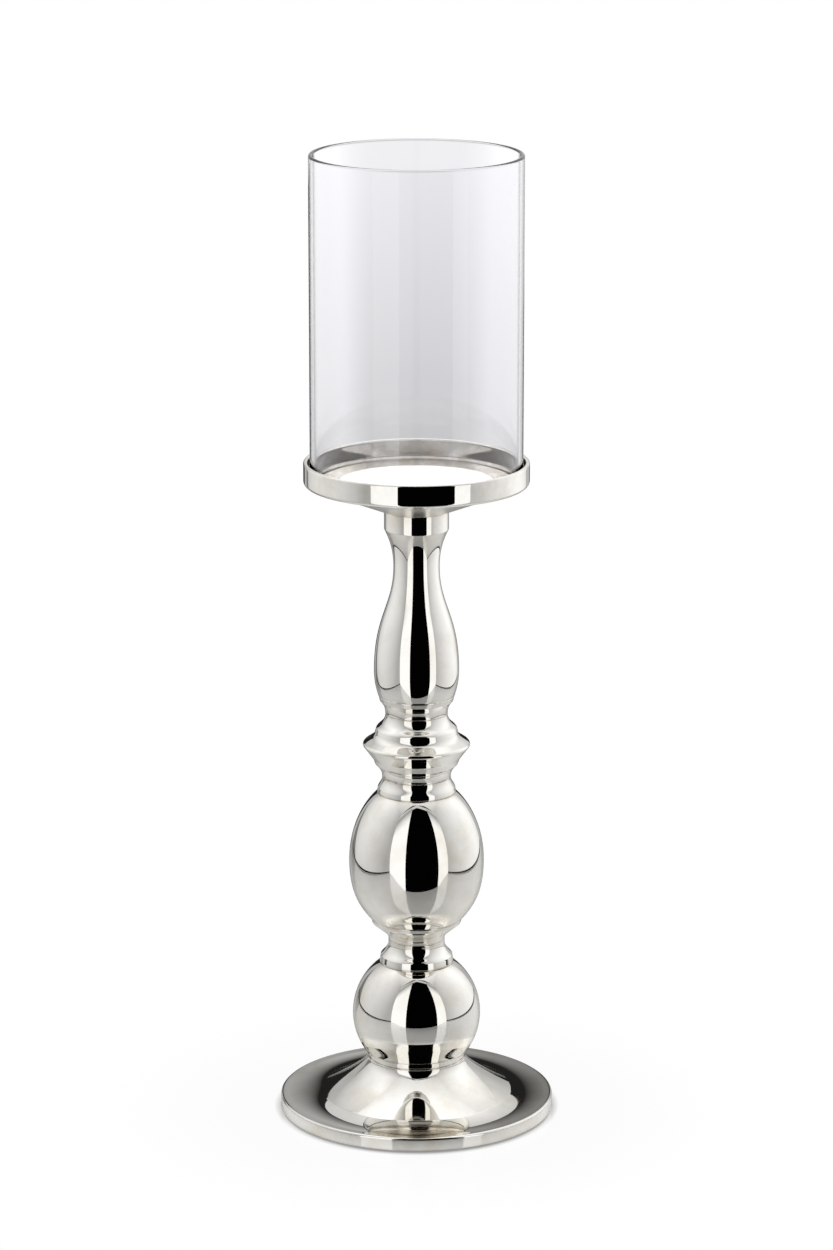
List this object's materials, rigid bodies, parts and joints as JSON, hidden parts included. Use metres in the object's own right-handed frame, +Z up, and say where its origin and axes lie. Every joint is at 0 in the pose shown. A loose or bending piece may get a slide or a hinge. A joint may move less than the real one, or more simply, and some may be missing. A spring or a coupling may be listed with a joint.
{
  "type": "hurricane lantern",
  "caption": "Table hurricane lantern: a clear glass cylinder stands in a rimmed candle plate on a baluster stem of polished turned and spun metal over a flared weighted foot.",
  "frame": {"origin": "on the stem's axis at the underside of the felt, where the lantern stands on a table", "axes": "+Z up along the stem's axis; +X and +Y are across the round foot, with no front of its own"},
  "size_m": [0.1578, 0.1578, 0.5571],
  "materials": {
    "silver_plate": "mirror-polished silver plate on brass",
    "clear_glass": "clear drawn tube with fire-polished edges",
    "brass": "turned, unplated",
    "zinc_steel": "zinc plated",
    "ballast_iron": "as cast, painted black",
    "felt": "pressed wool felt"
  },
  "bodies": {
    "stand": {"felt_pad": "felt", "bottom_cover": "zinc_steel", "ballast_ring": "ballast_iron", "foot_shell": "silver_plate", "rod_washer": "zinc_steel", "lock_washer": "zinc_steel", "rod_nut": "zinc_steel", "foot_ring": "silver_plate", "lower_ball": "silver_plate", "lower_knop": "silver_plate", "ovoid_foot": "silver_plate", "ovoid_body": "silver_plate", "ovoid_collar": "silver_plate", "flange_knop": "silver_plate", "vase_ring": "silver_plate", "vase_column": "silver_plate", "plate_boss": "brass", "tie_rod": "zinc_steel", "candle_plate": "silver_plate"},
    "glass": {"glass_cylinder": "clear_glass"}
  },
  "joints": [
    {"name": "glass_lift", "type": "slide", "parent": "stand", "child": "glass", "axis": [0, 0, 1], "range_m": [0, 0.19]}
  ]
}
